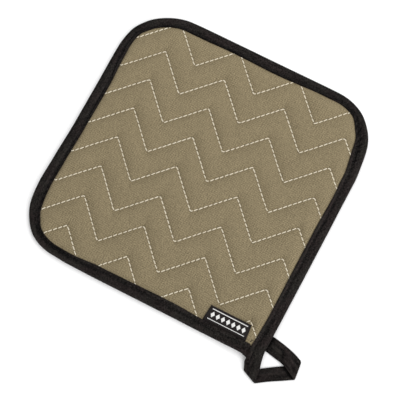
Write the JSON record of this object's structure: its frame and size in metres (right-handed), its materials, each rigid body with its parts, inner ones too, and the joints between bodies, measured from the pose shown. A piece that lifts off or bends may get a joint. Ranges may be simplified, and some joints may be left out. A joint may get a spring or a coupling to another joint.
{
  "type": "pot holder",
  "caption": "Square padded pot holder with rounded corners, zigzag quilting, a tape-bound edge and a folded-tape hanging loop at a corner.",
  "frame": {"origin": "middle of the square, on the underside on which the pot holder lies", "axes": "+Z out of the front face, X along the zigzag rows towards the side with the hanging loop, Y across the rows, away from the loop's corner"},
  "size_m": [0.2335, 0.2213, 0.0087],
  "materials": {
    "quilted_cloth": "matt plain-woven canvas, khaki tan",
    "binding_tape": "matt twill tape, black",
    "label_weave": "satin-woven label, black"
  },
  "bodies": {
    "root": {"quilted_pad": "quilted_cloth", "edge_binding": "binding_tape", "hanging_loop": "binding_tape", "woven_label": "label_weave"}
  },
  "joints": []
}
